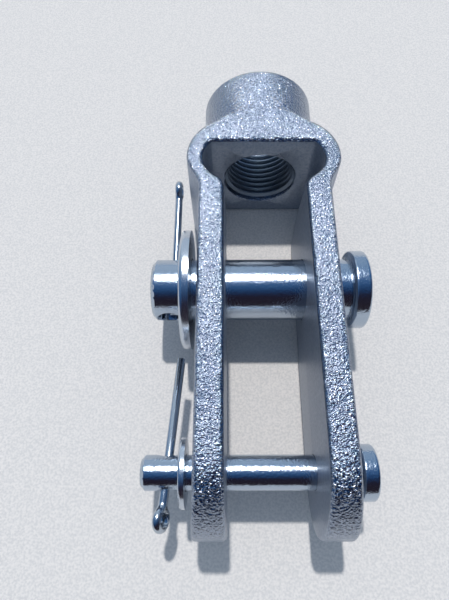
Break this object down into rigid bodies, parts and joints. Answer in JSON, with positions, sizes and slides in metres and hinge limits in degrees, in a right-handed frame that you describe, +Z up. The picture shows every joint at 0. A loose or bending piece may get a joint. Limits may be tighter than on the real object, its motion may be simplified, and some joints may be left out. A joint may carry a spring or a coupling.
{
  "type": "forged clevis with clevis pins",
  "caption": "Forged fork end with a tapped boss, a large and a small clevis pin across the arms, plain washers and straight cotter pins, zinc plated.",
  "frame": {"origin": "on the thread axis at the end face of the boss", "axes": "+Y out of the boss along the thread axis, so the fork points to -Y; +X toward the pin heads; +Z up, as the fork lies on the narrow edges of its arms"},
  "size_m": [0.0427, 0.0936, 0.0254],
  "materials": {
    "forged_zinc": "forged steel, bright blue-white zinc plate over a coarse grain",
    "turned_zinc": "turned steel, bright zinc plate with fine tool rings",
    "washer_zinc": "stamped steel, bright zinc plate",
    "cotter_wire": "half-round steel wire, bright zinc plate"
  },
  "bodies": {
    "fork": {"clevis_forging": "forged_zinc"},
    "main_pin": {"main_pin": "turned_zinc"},
    "main_washer": {"main_washer": "washer_zinc"},
    "main_cotter": {"main_cotter": "cotter_wire"},
    "link_pin": {"link_pin": "turned_zinc"},
    "link_washer": {"link_washer": "washer_zinc"},
    "link_cotter": {"link_cotter": "cotter_wire"}
  },
  "joints": [
    {"name": "main_pin_float", "type": "slide", "parent": "fork", "child": "main_pin", "axis": [1, 0, 0], "range_m": [-0.0029, 0.0007]},
    {"name": "main_washer_turn", "type": "hinge", "parent": "main_pin", "child": "main_washer", "pos_m": [-0.0155, -0.0476, 0], "axis": [1, 0, 0], "continuous": true},
    {"name": "main_cotter_draw", "type": "slide", "parent": "main_pin", "child": "main_cotter", "axis": [0, 1, 0], "range_m": [-0.0065, 0.0125]},
    {"name": "link_pin_float", "type": "slide", "parent": "fork", "child": "link_pin", "axis": [1, 0, 0], "range_m": [-0.0012, 0.0009]},
    {"name": "link_washer_turn", "type": "hinge", "parent": "link_pin", "child": "link_washer", "pos_m": [-0.0153, -0.0828, 0], "axis": [1, 0, 0], "continuous": true},
    {"name": "link_cotter_draw", "type": "slide", "parent": "link_pin", "child": "link_cotter", "axis": [-0.0889, -0.996, 0], "range_m": [-0.0014, 0.024]}
  ]
}
